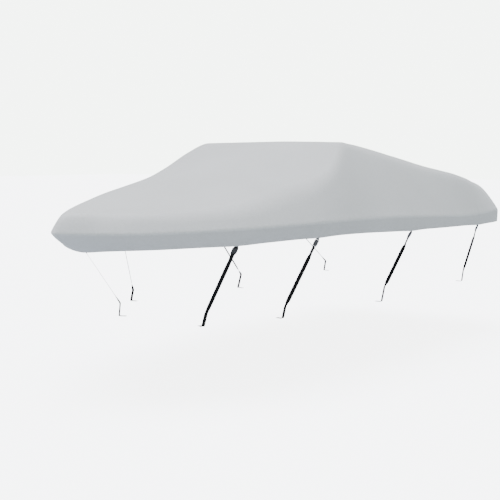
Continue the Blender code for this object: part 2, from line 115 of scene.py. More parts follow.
def smooth(keys, values, at):
    """A smooth curve through the values at their keys, read at the places asked for."""
    slopes = np.gradient(values, keys)
    index = np.clip(np.searchsorted(keys, at, side="right") - 1, 0, len(keys) - 2)
    span = keys[index + 1] - keys[index]
    t = (at - keys[index]) / span
    rise, fall = slopes[index] * span, slopes[index + 1] * span
    return ((2 * t**3 - 3 * t**2 + 1) * values[index] + (t**3 - 2 * t**2 + t) * rise
            + (3 * t**2 - 2 * t**3) * values[index + 1] + (t**3 - t**2) * fall)


ROW_STEPS = np.hypot(np.diff(column(SECTION_ROWS, SECTION_COLUMNS, "edge_x")),
                     np.diff(column(SECTION_ROWS, SECTION_COLUMNS, "edge_y")))
ROWS_AT = np.concatenate(([0.0], np.cumsum(ROW_STEPS)))
GUNWALE_END = ROWS_AT[-1]
MIRRORED_AT = np.concatenate(([-ROWS_AT[1]], ROWS_AT, [2 * GUNWALE_END - ROWS_AT[-2]]))


def read(name, at):
    """A column of the section table at one place along the gunwale, smooth through both ends."""
    values = column(SECTION_ROWS, SECTION_COLUMNS, name)
    mirror = -1.0 if name in ("edge_y", "hem_in") else 1.0
    values = np.concatenate(([mirror * values[1]], values, [mirror * values[-2]]))
    return float(smooth(MIRRORED_AT, values, at))


def gunwale(at):
    return np.array([read("edge_x", at), read("edge_y", at), read("edge_z", at)])


def hem_line(at):
    x = read("edge_x", at) + read("hem_aft", at)
    y = read("edge_y", at) - read("hem_in", at)
    pulls = column(STRAP_ROWS, STRAP_COLUMNS, "hem_x").astype(float)
    dip = sum(HEM_DIP * math.exp(-((x - pull) / HEM_DIP_REACH) ** 2) for pull in pulls)
    return np.array([x, y, read("hem_z", at) - dip])


def strap_station(row):
    """The place along the gunwale of the hem point where a strap is sewn on."""
    hem_x = row[STRAP_COLUMNS.index("hem_x")]
    low, high = ROWS_AT[1], ROWS_AT[-3]
    for _ in range(40):
        middle = (low + high) / 2
        if hem_line(middle)[0] < hem_x:
            low = middle
        else:
            high = middle
    return (low + high) / 2


STRAP_STATIONS = [strap_station(row) for row in STRAP_ROWS]


def skirt_point(edge, hem, share):
    """A point of the skirt, share of the way down from the gunwale to the hem."""
    point = edge + (hem - edge) * share
    point[:2] -= (hem - edge)[:2] * SKIRT_BULGE * share * (1 - share)
    return point


def soft_least(a, b, softness):
    overlap = max(softness - abs(a - b), 0.0) / softness
    return min(a, b) - overlap * overlap * softness / 4


# The cloth is worked out as a fine net: sections every few centimetres, and in each of them the
# turned-up hem, the skirt, the rounded gunwale, the side panel, the shoulder and the top.
SECTION_SPACING = 0.024
SEAM_HEIGHTS = (0.0075, 0.0200)
SKIRT_NET = np.linspace(1.0, 0.0, 14)[:-1]
GUNWALE_ROUND = 0.013
HEM_INSIDE_HEIGHTS = (HEM_TURN_UP, 0.018, 0.009, 0.003)
CORD_TURNS = (25, 60, 90, 120, 155)
HEM_SLACK, CORD_LIFT, HEM_OUTSIDE_HEIGHT = 0.0002, 0.0004, 0.0035
CORD_COLUMNS, HEM_LOW_COLUMN = (4, 9), 6
SHOULDER_MARK, TOP_MARK = 1.9, 2.0
PANEL_NET = np.linspace(0.0, 1.0, 13)[1:]
TURN_NET = np.linspace(-1.0, 1.0, 10)[1:]
TOP_NET = np.linspace(0.0, 1.0, 25)[1:] ** 0.92


def side_height(share, rise, fullness):
    """Height of the side panel above the gunwale, which stands a little off a straight pull."""
    if share > 1.0:
        return rise * (1.0 + (1.0 - fullness) * (share - 1.0))
    return rise * share * (1.0 + fullness * (1.0 - share))


def hem_points(edge, hem, outward):
    """The turned-up hem: up inside, down to the edge, and round its cord to the outside."""
    up = skirt_point(edge, hem, HEM_LEAN_SHARE) - hem
    up /= np.linalg.norm(up)
    inward = -np.array([outward[0], outward[1], 0.0])
    inward -= up * inward.dot(up)
    inward /= np.linalg.norm(inward)
    inner = HEM_THICKNESS - HEM_SLACK
    points = [hem + up * height + inward * inner for height in HEM_INSIDE_HEIGHTS]
    middle = hem + up * (inner / 2 + CORD_LIFT) + inward * inner / 2
    for turn in CORD_TURNS:
        angle = math.radians(turn)
        points.append(middle + inward * math.cos(angle) * inner / 2
                      - up * math.sin(angle) * inner / 2)
    points.append(hem + up * HEM_OUTSIDE_HEIGHT)
    return points


def section(at):
    """One section from the hem's inner edge to the centreline: its points, its plan direction
    outwards, and its share marks (skirt 0 to 1, panel 1 to 2, top 2 to 3)."""
    hem, edge = hem_line(at), gunwale(at)
    spine_x = min(max(edge[0], SPINE_FRONT), SPINE_AFT)
    spine = np.array([spine_x, 0.0])
    reach = np.linalg.norm(edge[:2] - spine)
    outward = (edge[:2] - spine) / reach
    crown_z = float(smooth(column(CROWN_ROWS, CROWN_COLUMNS, "x"),
                           column(CROWN_ROWS, CROWN_COLUMNS, "z"), spine_x))
    turn_in, turn_z, softness, fullness = (
        read(name, at) for name in ("turn_in", "turn_z", "turn_soft", "fullness"))
    rise = turn_z - edge[2]
    rounding = min(softness * turn_in / (rise * (1.0 - fullness)), 0.55 * turn_in)

    def panel_point(q):
        panel = edge[2] + side_height(q / turn_in, rise, fullness)
        top = crown_z - (crown_z - turn_z) * ((reach - q) / (reach - turn_in)) ** 2
        height = soft_least(panel, top, softness) if q < turn_in + rounding else min(panel, top)
        return np.array([edge[0] - outward[0] * q, edge[1] - outward[1] * q, height])

    points = hem_points(edge, hem, outward)
    marks = [0.0] * len(points)
    depth = np.linalg.norm(hem - edge)
    round_share = GUNWALE_ROUND / depth
    top_seam = 1.0 - SEAM_HEIGHTS[-1] / depth - 0.06
    shares = [1.0 - height / depth for height in SEAM_HEIGHTS]
    shares += [round_share + share * (top_seam - round_share) for share in SKIRT_NET]
    for share in shares:
        points.append(skirt_point(edge, hem, share))
        marks.append(1.0 - share)
    start, end = skirt_point(edge, hem, round_share), panel_point(GUNWALE_ROUND)
    for t in (0.0, 0.2, 0.4, 0.6, 0.8):
        points.append(start * (1 - t) ** 2 + edge * 2 * t * (1 - t) + end * t**2)
        marks.append(1.0)
    for share in PANEL_NET:
        q = GUNWALE_ROUND + share * (turn_in - rounding - GUNWALE_ROUND)
        points.append(panel_point(q))
        marks.append(1.0 + share * 0.8)
    for share in TURN_NET:
        points.append(panel_point(turn_in + share * rounding))
        marks.append(SHOULDER_MARK + share * 0.1)
    inner = turn_in + rounding
    for share in TOP_NET:
        points.append(panel_point(inner + share * (reach - inner)))
        marks.append(TOP_MARK + share)
    return np.array(points), outward, spine, np.array(marks)


WAVE_HEIGHT, RIPPLE_HEIGHT, PUCKER_HEIGHT, FOLD_HEIGHT = 0.0026, 0.0009, 0.0016, 0.0022
FOLD_START, FOLD_LENGTH, FOLDS_REACH = 0.08, 0.09, 0.5
TAUT_ALONG, TAUT_ABOVE = 0.06, 0.09


def unevenness(point, at, side, mark, above_hem):
    """How far the cloth stands off its even shape, outwards: slow waves all over, puckers in the
    skirt, and small folds fanning out above each strap."""
    spot = Vector(point)
    off = (WAVE_HEIGHT * noise.noise(spot * 2.3)
           + RIPPLE_HEIGHT * noise.noise(spot * 7.0 + Vector((3.1, 0, 0))))
    if mark < 1.0:
        off += PUCKER_HEIGHT * (1 - mark) * noise.noise(Vector((at * 9.0, side * 5.0, mark * 0.8)))
    free = 1.0
    for middle in STRAP_STATIONS:
        along = at - middle
        reach = math.hypot(along, above_hem)
        if reach < FOLDS_REACH:
            fan = math.atan2(along, above_hem + 0.03)
            fade = math.exp(-((reach - FOLD_START) / FOLD_LENGTH) ** 2)
            off += FOLD_HEIGHT * fade * math.cos(fan * 7.0 + side)
            free *= 1.0 - math.exp(-((along / TAUT_ALONG) ** 2) - (above_hem / TAUT_ABOVE) ** 2)
    return off * free


def worked_out_net():
    """Points, flat places on the cloth, rub marks and painted skirt shade of both sides, as
    [side][section][point].
    """
    count = int(GUNWALE_END / SECTION_SPACING)
    nets = []
    for _, side in SIDES:
        net = []
        for at in np.linspace(0.0, GUNWALE_END, count + 1):
            points, outward, spine, marks = section(at)
            inward = -(points[:, :2] - spine) @ outward
            steps = np.linalg.norm(np.diff(points, axis=0), axis=1)
            girth = np.concatenate((np.cumsum(steps[::-1])[::-1], [0.0]))
            net_row = []
            for index, point in enumerate(points):
                before, after = max(index - 1, 0), min(index + 1, len(points) - 1)
                lean = np.array([inward[after] - inward[before],
                                 points[after][2] - points[before][2]])
                if index <= CORD_COLUMNS[1]:
                    lean = np.array([0.0, 1.0])
                lean /= max(np.linalg.norm(lean), 1e-9)
                above = max(points[index][2] - points[HEM_LOW_COLUMN][2], 0.0)
                spot = (point[0], point[1] * side, point[2])
                off = unevenness(spot, at, side, marks[index], above)
                if index == len(points) - 1:
                    off = 0.5 * (off + unevenness(spot, at, -side, 3.0, above))
                x = point[0] + outward[0] * lean[1] * off
                y = point[1] + outward[1] * lean[1] * off
                z = point[2] + lean[0] * off
                flat = (spine[0] + outward[0] * girth[index], side * outward[1] * girth[index])
                crease = math.exp(-((marks[index] - 1.0) / 0.05) ** 2)
                shoulder = math.exp(-((marks[index] - SHOULDER_MARK) / 0.12) ** 2)
                on_cord = CORD_COLUMNS[0] <= index <= CORD_COLUMNS[1]
                rub = max(crease, 0.5 * shoulder, 0.8 if on_cord else 0.0)
                # Painted shade: the hem and the skirt are marked to be darkened, fading out just
                # below the gunwale, in place of the shade on this down-facing band.
                painted_skirt_shade = 1.0
                if index > CORD_COLUMNS[1]:
                    painted_skirt_shade = float(np.clip((1.0 - marks[index]) * 9.0, 0.0, 1.0))
                net_row.append(((x - TOP_AFT, side * y, z - SUPPORT_HEIGHT), flat, rub, painted_skirt_shade))
            net.append(net_row)
        nets.append(net)
    return nets


def made_object(name, mesh_data):
    """An object at the origin with the mesh, its faces pointing outwards."""
    bmesh.ops.recalc_face_normals(mesh_data, faces=mesh_data.faces)
    mesh = bpy.data.meshes.new(name)
    mesh_data.to_mesh(mesh)
    mesh_data.free()
    made = bpy.data.objects.new(name, mesh)
    bpy.context.scene.collection.objects.link(made)
    return made


def cloth_mesh(name, nets):
    mesh_data = bmesh.new()
    flat_layer = mesh_data.loops.layers.uv.new("cloth")
    rub_layer = mesh_data.verts.layers.float.new("rub")
    # Each vertex carries its rub mark and its share of painted skirt shade, which the cloth's
    # material uses to darken the hem and skirt.
    painted_skirt_shade_layer = mesh_data.verts.layers.float.new("painted_skirt_shade")
    for net, side in zip(nets, (-1.0, 1.0)):
        verts = []
        for net_row in net:
            row_verts = []
            for place, _, rub, painted_skirt_shade in net_row:
                vert = mesh_data.verts.new(place)
                vert[rub_layer] = rub
                vert[painted_skirt_shade_layer] = painted_skirt_shade
                row_verts.append(vert)
            verts.append(row_verts)
        for i in range(len(net) - 1):
            for j in range(len(net[0]) - 1):
                corners = [(i, j), (i + 1, j), (i + 1, j + 1), (i, j + 1)]
                if side < 0:
                    corners.reverse()
                face = mesh_data.faces.new([verts[a][b] for a, b in corners])
                for loop, (a, b) in zip(face.loops, corners):
                    loop[flat_layer].uv = net[a][b][1]
    bmesh.ops.remove_doubles(mesh_data, verts=mesh_data.verts, dist=0.0002)
    bmesh.ops.dissolve_degenerate(mesh_data, edges=mesh_data.edges, dist=0.00002)
    return made_object(name, mesh_data)


def only(piece):
    """In object mode, the piece alone is selected and active."""
    if bpy.context.object and bpy.context.object.mode == "EDIT":
        bpy.ops.object.mode_set(mode="OBJECT")
    bpy.ops.object.select_all(action="DESELECT")
    bpy.context.view_layer.objects.active = piece
    piece.select_set(True)


def apply_modifiers(piece):
    only(piece)
    for modifier in list(piece.modifiers):
        bpy.ops.object.modifier_apply(modifier=modifier.name)
    piece.select_set(False)


class Nodes:
    """Short names for the node work that the materials share."""

    def __init__(self, name):
        self.material = bpy.data.materials.new(name)
        self.material.use_nodes = True
        self.tree = self.material.node_tree
        self.shader = self.tree.nodes["Principled BSDF"]

    def add(self, kind, **settings):
        node = self.tree.nodes.new(kind)
        for key, value in settings.items():
            setattr(node, key, value)
        return node

    def link(self, source, target):
        self.tree.links.new(source, target)

    def feed(self, target, value):
        if isinstance(value, (int, float)):
            target.default_value = value
        else:
            self.link(value, target)

    def math(self, operation, first, second=0.0, third=0.0):
        node = self.add("ShaderNodeMath", operation=operation)
        for socket, value in zip(node.inputs, (first, second, third)):
            self.feed(socket, value)
        return node.outputs[0]

    def noise(self, vector, scale, detail=2.0, roughness=0.5):
        node = self.add("ShaderNodeTexNoise")
        node.inputs["Scale"].default_value = scale
        node.inputs["Detail"].default_value = detail
        node.inputs["Roughness"].default_value = roughness
        self.link(vector, node.inputs["Vector"])
        return node.outputs["Fac"]

    def rounds(self, value, pitch):
        """The rounded backs of threads that lie side by side at a pitch."""
        turn = self.math("MULTIPLY", value, math.pi / pitch)
        return self.math("ABSOLUTE", self.math("SINE", turn))

    def remap(self, value, low, high, new_low, new_high):
        node = self.add("ShaderNodeMapRange")
        self.link(value, node.inputs["Value"])
        for key, number in (("From Min", low), ("From Max", high), ("To Min", new_low),
                            ("To Max", new_high)):
            node.inputs[key].default_value = number
        return node.outputs["Result"]

    def scaled_color(self, color, factor):
        """The colour, made lighter or darker by a factor that varies over the surface."""
        node = self.add("ShaderNodeVectorMath", operation="SCALE")
        node.inputs[0].default_value = color
        self.link(factor, node.inputs["Scale"])
        return node.outputs[0]

    def bump(self, height, distance, strength=1.0, normal=None):
        node = self.add("ShaderNodeBump")
        node.inputs["Distance"].default_value = distance
        node.inputs["Strength"].default_value = strength
        self.link(height, node.inputs["Height"])
        if normal is not None:
            self.link(normal, node.inputs["Normal"])
        return node.outputs["Normal"]


def weave_height(nodes, along, across, pitch):
    """Height of a plain weave: each thread rises over a crossing thread and dips under the next."""
    warp = nodes.math("DIVIDE", along, pitch)
    weft = nodes.math("DIVIDE", across, pitch)
    warp_round, weft_round = nodes.rounds(warp, 1.0), nodes.rounds(weft, 1.0)
    crossing = nodes.math("ADD", nodes.math("FLOOR", warp), nodes.math("FLOOR", weft))
    over = nodes.math("FLOORED_MODULO", crossing, 2.0)
    under = nodes.math("SUBTRACT", 1.0, over)
    return nodes.math("ADD", nodes.math("MULTIPLY", warp_round, over),
                      nodes.math("MULTIPLY", weft_round, under))


def cover_cloth_material():
    """Grey coated polyester: fine plain weave, faint mottling, paler where it is rubbed; painted
    shade darkens the weave's grooves and the hem and skirt.
    """
    nodes = Nodes("grey_coated_polyester")
    flat = nodes.add("ShaderNodeUVMap", uv_map="cloth")
    split = nodes.add("ShaderNodeSeparateXYZ")
    nodes.link(flat.outputs["UV"], split.inputs[0])
    weave = weave_height(nodes, split.outputs["X"], split.outputs["Y"], CLOTH_THREAD)
    place = nodes.add("ShaderNodeTexCoord").outputs["Object"]
    mottle = nodes.noise(place, 1.6, 3.0)
    grain = nodes.noise(place, 55.0, 3.0, 0.6)
    slubs = nodes.noise(flat.outputs["UV"], 260.0, 1.0)
    rub = nodes.add("ShaderNodeAttribute", attribute_name="rub")
    painted_skirt_shade = nodes.add("ShaderNodeAttribute", attribute_name="painted_skirt_shade")
    # Painted shade: where the cloth is marked, over the hem and skirt, its colour is darkened by 4
    # to 7 per cent in streaks, in place of the shade on this down-facing band.
    painted_shade_streaks = nodes.remap(nodes.noise(place, 7.0, 4.0, 0.6), 0.3, 0.7, 0.04, 0.07)
    painted_skirt_darkening = nodes.math("MULTIPLY", painted_skirt_shade.outputs["Fac"], painted_shade_streaks)

    shade = nodes.remap(mottle, 0.3, 0.7, 0.97, 1.03)
    shade = nodes.math("MULTIPLY", shade, nodes.remap(grain, 0.25, 0.75, 0.955, 1.045))
    # Painted shade: the colour follows the weave's height, 6 per cent darker in the grooves between
    # threads and a little lighter on their crowns.
    shade = nodes.math("MULTIPLY", shade, nodes.remap(weave, 0.0, 1.0, 0.94, 1.03))
    # The painted shade of the hem and skirt is applied to the colour here.
    shade = nodes.math("MULTIPLY", shade, nodes.math("SUBTRACT", 1.0, painted_skirt_darkening))
    worn = nodes.math("MULTIPLY", rub.outputs["Fac"], nodes.remap(grain, 0.35, 0.65, 0.03, 0.10))
    shade = nodes.math("ADD", shade, worn)
    nodes.link(nodes.scaled_color(CLOTH_COLOR, shade), nodes.shader.inputs["Base Color"])
    rough = nodes.remap(grain, 0.2, 0.8, 0.74, 0.86)
    nodes.link(rough, nodes.shader.inputs["Roughness"])
    nodes.shader.inputs["Sheen Weight"].default_value = 0.12
    nodes.shader.inputs["Sheen Roughness"].default_value = 0.5
    nodes.shader.inputs["Specular IOR Level"].default_value = 0.35
    threads = nodes.bump(weave, 0.00025, 0.6)
    nodes.link(nodes.bump(slubs, 0.0004, 0.35, threads), nodes.shader.inputs["Normal"])
    return nodes.material


CLOTH_COLOR = (0.430, 0.440, 0.438)
CLOTH_THREAD = 0.0011

cover_nets = worked_out_net()
cover = cloth_mesh("cover_cloth", cover_nets)
wall = cover.modifiers.new("thickness", "SOLIDIFY")
wall.thickness = CLOTH_THICKNESS
wall.offset = -1.0
wall.use_even_offset = False
apply_modifiers(cover)
cover.data.shade_smooth()
cover.data.materials.append(cover_cloth_material())
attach(cover, "root")
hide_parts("cover")

# ---------------------------------------------------------------- hem stitching
# Two rows of lockstitch in pale grey bonded thread run round the hem. The lower one holds the
# cord in the fold and the upper one holds the turned-up edge.
STITCH_PITCH = 0.0046
STITCH_LENGTH = 0.0036
STITCH_WIDTH = 0.0010
STITCH_HEIGHT = 0.0005
SEAM_COLUMNS = (10, 11)


def sew(name, runs):
    """Stitches along each run of (place, way out of the cloth): a small lens of thread for each."""
    mesh_data = bmesh.new()
    for run in runs:
        places = [Vector(place) for place, _ in run]
        outs = [Vector(out) for _, out in run]
        lengths = [(after - before).length for before, after in zip(places, places[1:])]
        ends = np.concatenate(([0.0], np.cumsum(lengths)))
        count = max(int(ends[-1] / STITCH_PITCH), 1)
        pitch = ends[-1] / count
        for number in range(count):
            middle_at = (number + 0.5) * pitch
            leg = min(int(np.searchsorted(ends, middle_at)) - 1, len(lengths) - 1)
            share = (middle_at - ends[leg]) / lengths[leg]
            middle = places[leg].lerp(places[leg + 1], share)
            out = outs[leg].lerp(outs[leg + 1], share).normalized()
            ahead = (places[leg + 1] - places[leg]).normalized()
            beside = out.cross(ahead).normalized()
            back, front = (mesh_data.verts.new(middle + ahead * way * STITCH_LENGTH / 2
                                               - out * STITCH_HEIGHT * 0.3) for way in (-1, 1))
            ring = [mesh_data.verts.new(middle + beside * across * STITCH_WIDTH / 2
                                        + out * up * STITCH_HEIGHT)
                    for across, up in ((1, 0.1), (0, 1), (-1, 0.1), (0, -0.6))]
            for corner in range(4):
                after = ring[(corner + 1) % 4]
                mesh_data.faces.new((ring[corner], after, front))
                mesh_data.faces.new((after, ring[corner], back))
    made = made_object(name, mesh_data)
    made.data.shade_smooth()
    return made


def thread_material(name, color):
    """Twisted, bonded polyester thread: slightly glossy, a little dirtier in places."""
    nodes = Nodes(name)
    place = nodes.add("ShaderNodeTexCoord").outputs["Object"]
    dirt = nodes.remap(nodes.noise(place, 9.0, 3.0), 0.3, 0.7, 0.82, 1.05)
    nodes.link(nodes.scaled_color(color, dirt), nodes.shader.inputs["Base Color"])
    nodes.shader.inputs["Roughness"].default_value = 0.55
    nodes.link(nodes.bump(nodes.noise(place, 2600.0, 1.0), 0.0002, 0.6),
               nodes.shader.inputs["Normal"])
    return nodes.material


def net_place(net, section_index, column_index):
    return Vector(net[section_index][column_index][0])


def seam_runs(net, side, column_index):
    """The line of one column of the net round the hem, with the way out of the cloth."""
    run = []
    last = len(net) - 1
    for index in range(last + 1):
        along = net_place(net, min(index + 1, last), column_index) - net_place(
            net, max(index - 1, 0), column_index)
        upward = net_place(net, index, column_index + 1) - net_place(net, index, column_index - 1)
        out = along.cross(upward).normalized()
        if out.dot(Vector((0.0, side, 0.0)) + Vector((along.y, -along.x, 0.0)) * side) < 0:
            out.negate()
        run.append((net_place(net, index, column_index), out))
    return run


hem_seams = [seam_runs(net, side, column_index)
             for net, side in zip(cover_nets, (-1.0, 1.0)) for column_index in SEAM_COLUMNS]
hem_stitching = sew("hem_stitching", hem_seams)
hem_stitching.data.materials.append(thread_material("grey_thread", (0.42, 0.43, 0.43)))
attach(hem_stitching, "root")

# ---------------------------------------------------------------- webbing tabs and straps
# Black 32 mm polypropylene webbing. Four short tabs a side are sewn inside the hem, each folded
# round a buckle's bar; below the buckle a strap runs taut to the trailer's rail, its webbing turned
# towards the bow on the way, goes over the rail's outer edge and is tucked in underneath.
WEB_WIDTH, WEB_THICKNESS, SEAT_GAP = 0.032, 0.0018, 0.00035
TAB_HOLD, LOOP_REACH, STRAP_TAIL = 0.024, 0.008, 0.050
RAIL_TUCK, TURN_REACH = 0.060, 0.008
TWIST_STEPS, TWIST_SHARE = 30, 0.14
FOLD_END, WEB_STEP, SELVAGE_ROUND, SELVAGE_IN = 0.006, 0.02, 0.0007, 0.0022
RIB_PITCH, PICK_PITCH = 0.0023, 0.0017
LAYER_HALF = (WEB_THICKNESS + SEAT_GAP) / 2
BAR_HALF, PLUG_BAR = 0.0014, 0.0607
LOOP_RADIUS = BAR_HALF * 1.5 + SEAT_GAP + WEB_THICKNESS / 2


class Lay:
    """How one strap lies: its line of pull from the hem, with its own across and outward ways."""

    def __init__(self, row, station, side):
        fields = dict(zip(STRAP_COLUMNS, row))
        low, high = [], []
        for at in (station - FACET_HALF, station + FACET_HALF):
            hem, edge = hem_line(at), gunwale(at)
            for point, points in ((hem, low), (skirt_point(edge, hem, HEM_LEAN_SHARE), high)):
                points.append(self.place(point[0], side * point[1], point[2]))
        rise = (high[0] + high[1] - low[0] - low[1]).normalized()
        facing = (low[1] - low[0]).cross(rise).normalized()
        if facing.y * side < 0:
            facing.negate()
        inward = HEM_THICKNESS + SEAT_GAP + WEB_THICKNESS + SEAT_GAP / 2
        self.facing = facing
        self.hem_outside = (low[0] + low[1]) / 2
        self.hem_middle = self.hem_outside - facing * inward
        self.rail = self.place(fields["rail_x"], side * fields["rail_y"], fields["rail_z"])
        self.rail_wide = Vector((1.0, side * fields["splay"], 0.0)).normalized()
        self.rail_face = Vector((-fields["slant"], 0.0, -fields["depth"]))
        self.turn = math.radians(fields["turn"])
        self.down = (self.rail - self.hem_middle).normalized()
        self.wide = facing.cross(self.down).normalized()
        if self.wide.x < 0:
            self.wide.negate()
        self.out = self.wide.cross(self.down).normalized()
        if self.out.y * side < 0:
            self.out.negate()
        self.sewn = (self.down - facing * self.down.dot(facing)).normalized()
        self.bar = self.hem_middle + self.down * fields["drop"]

    @staticmethod
    def place(aft, side, height):
        return Vector((aft - TOP_AFT, side, height - SUPPORT_HEIGHT))

    def at(self, across, along, out):
        return self.bar + self.wide * across + self.down * along + self.out * out


def turned(points, reach):
    """The same run of points, with each corner in it led round in a smooth turn."""
    rounded = [points[0]]
    for before, corner, after in zip(points, points[1:], points[2:]):
        start = corner + (before - corner).normalized() * reach
        end = corner + (after - corner).normalized() * reach
        for share in (0.0, 0.2, 0.4, 0.6, 0.8, 1.0):
            rounded.append(start * (1 - share) ** 2 + corner * 2 * share * (1 - share)
                           + end * share**2)
    return rounded + [points[-1]]


def free_run(lay, start, end):
    """The strap's centres and ways across, from its fold to the rail, as its webbing turns."""
    centres, wides = [], []
    for step in range(1, TWIST_STEPS):
        share = step / TWIST_STEPS
        held = min(share, 1.0 - share, TWIST_SHARE) / TWIST_SHARE
        angle = lay.turn * held * held * (3.0 - 2.0 * held)
        wide = lay.wide.lerp(lay.rail_wide, share) * math.cos(angle) + lay.out * math.sin(angle)
        centres.append(start.lerp(end, share))
        wides.append(wide.normalized())
    return centres, wides


def loop_round_bar(lay, along, towards):
    """Centres of webbing led round the bar at along, its layers leaving towards the hem or rail."""
    tangent = (math.asin(LOOP_RADIUS / math.hypot(LOOP_REACH, LAYER_HALF))
               - math.atan2(LAYER_HALF, LOOP_REACH))
    centres = [(LOOP_REACH, -LAYER_HALF)]
    for step in range(15):
        angle = -tangent + (math.pi + 2 * tangent) * step / 14
        centres.append((-LOOP_RADIUS * math.sin(angle), -LOOP_RADIUS * math.cos(angle)))
    centres.append((LOOP_REACH, LAYER_HALF))
    return [lay.at(0.0, along + towards * run, out) for run, out in centres]


def finely(centres, wides, step):
    """The same run with points put in along its straight lengths."""
    fine_centres, fine_wides = [centres[0]], [wides[0]]
    for index in range(len(centres) - 1):
        count = max(int((centres[index + 1] - centres[index]).length / step), 1)
        for part in range(1, count + 1):
            fine_centres.append(centres[index].lerp(centres[index + 1], part / count))
            fine_wides.append(wides[index].lerp(wides[index + 1], part / count).normalized())
    return fine_centres, fine_wides


def webbing_profile():
    """Half-rounded selvages and nearly flat faces: (across, out) round the webbing's section."""
    half, thick = WEB_WIDTH / 2, WEB_THICKNESS / 2
    face = [(half - SELVAGE_ROUND, thick * 0.92), (half - SELVAGE_IN, thick),
            (half * 0.5, thick * 0.985), (0.0, thick * 0.975), (-half * 0.5, thick * 0.985),
            (-half + SELVAGE_IN, thick), (-half + SELVAGE_ROUND, thick * 0.92),
            (-half, thick * 0.45)]
    return face + [(-across, -out) for across, out in face]


def webbing(name, centres, wides):
    centres, wides = finely(centres, wides, WEB_STEP)
    profile = webbing_profile()
    mesh_data = bmesh.new()
    flat_layer = mesh_data.loops.layers.uv.new("webbing")
    rings, lengths = [], [0.0]
    for before, after in zip(centres, centres[1:]):
        lengths.append(lengths[-1] + (after - before).length)
    for index, centre in enumerate(centres):
        before = centre - centres[index - 1] if index else centres[1] - centre
        after = centres[index + 1] - centre if index + 1 < len(centres) else before
        face_before = before.cross(wides[index]).normalized()
        face_after = after.cross(wides[index]).normalized()
        out = (face_before + face_after) / (1 + face_before.dot(face_after))
        rings.append([mesh_data.verts.new(centre + wides[index] * across + out * off)
                      for across, off in profile])
    count = len(profile)
    for index, (here, after) in enumerate(zip(rings, rings[1:])):
        for corner in range(count):
            beside = (corner + 1) % count
            face = mesh_data.faces.new((here[corner], after[corner], after[beside], here[beside]))
            marks = ((corner, index), (corner, index + 1), (beside, index + 1), (beside, index))
            for loop, (column_index, row_index) in zip(face.loops, marks):
                loop[flat_layer].uv = (profile[column_index][0], lengths[row_index])
    for ring, along in ((rings[0], 0.0), (list(reversed(rings[-1])), lengths[-1])):
        cut = mesh_data.faces.new(ring)
        for loop in cut.loops:
            loop[flat_layer].uv = (0.0, along)
    made = made_object(name, mesh_data)
    made.data.shade_smooth()
    made.data.materials.append(webbing_finish)
    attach(made, "root")
    return made


def webbing_material():
    """Black ribbed webbing: lengthwise ribs, slanting picks across them, dusty selvages, and
    painted shade in the grooves between ribs and picks.
    """
    nodes = Nodes("black_ribbed_webbing")
    flat = nodes.add("ShaderNodeUVMap", uv_map="webbing")
    split = nodes.add("ShaderNodeSeparateXYZ")
    nodes.link(flat.outputs["UV"], split.inputs[0])
    across, along = split.outputs["X"], split.outputs["Y"]
    slant = nodes.math("PINGPONG", across, 2 * RIB_PITCH)
    pick_at = nodes.math("ADD", along, nodes.math("MULTIPLY", slant, 0.6))
    rib, pick = nodes.rounds(across, RIB_PITCH), nodes.rounds(pick_at, PICK_PITCH)
    height = nodes.math("ADD", nodes.math("MULTIPLY", rib, 0.55),
                        nodes.math("MULTIPLY", pick, 0.45))
    place = nodes.add("ShaderNodeTexCoord").outputs["Object"]
    dust = nodes.noise(place, 38.0, 4.0, 0.65)
    selvage = nodes.remap(nodes.math("ABSOLUTE", across), 0.0135, 0.0160, 0.0, 0.35)
    # Painted shade: the colour follows the height of the ribs and picks, much darker in the grooves
    # between them; the dust mottling over it is the webbing's own.
    shade = nodes.math("MULTIPLY", nodes.remap(height, 0.0, 1.0, 0.55, 1.15),
                       nodes.remap(dust, 0.3, 0.75, 0.85, 1.45))
    shade = nodes.math("ADD", shade, selvage)
    nodes.link(nodes.scaled_color((0.004, 0.004, 0.0043), shade), nodes.shader.inputs["Base Color"])
    nodes.link(nodes.remap(dust, 0.3, 0.7, 0.62, 0.8), nodes.shader.inputs["Roughness"])
    nodes.shader.inputs["Specular IOR Level"].default_value = 0.12
    nodes.link(nodes.bump(height, 0.0006, 0.8), nodes.shader.inputs["Normal"])
    return nodes.material


webbing_finish = webbing_material()
lays = {f"{side_name}_{row[0]}": Lay(row, station, side)
        for side_name, side in SIDES for row, station in zip(STRAP_ROWS, STRAP_STATIONS)}
for label, lay in lays.items():
    top = lay.hem_middle - lay.sewn * TAB_HOLD
    bend = (lay.facing + lay.out) / (1 + lay.facing.dot(lay.out)) * LAYER_HALF
    centres = [top - lay.facing * LAYER_HALF, lay.hem_middle - bend]
    centres += loop_round_bar(lay, 0.0, -1.0)
    centres += [lay.hem_middle + bend, top + lay.facing * LAYER_HALF]
    tab = webbing(f"webbing_tab_{label}", centres, [lay.wide] * len(centres))
    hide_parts(f"tab_{label}")

    inward = lay.rail_wide.cross(Vector((0, 0, 1)))
    if inward.dot(lay.out) > 0:
        inward.negate()
    leave = lay.at(0.0, PLUG_BAR + STRAP_TAIL + FOLD_END, LAYER_HALF)
    low = lay.rail + lay.rail_face - inward * inward.dot(lay.rail_face)
    run = turned([leave, lay.rail, low, low + inward * RAIL_TUCK], TURN_REACH)
    loop = loop_round_bar(lay, PLUG_BAR, 1.0)
    centres = [lay.at(0.0, PLUG_BAR + STRAP_TAIL, -LAYER_HALF)] + loop + [leave]
    free_centres, free_wides = free_run(lay, leave, run[1])
    wides = [lay.wide] * len(centres) + free_wides + [lay.rail_wide] * (len(run) - 1)
    centres += free_centres + run[1:]
    strap = webbing(f"webbing_strap_{label}", centres, wides)
    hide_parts(f"strap_{label}")

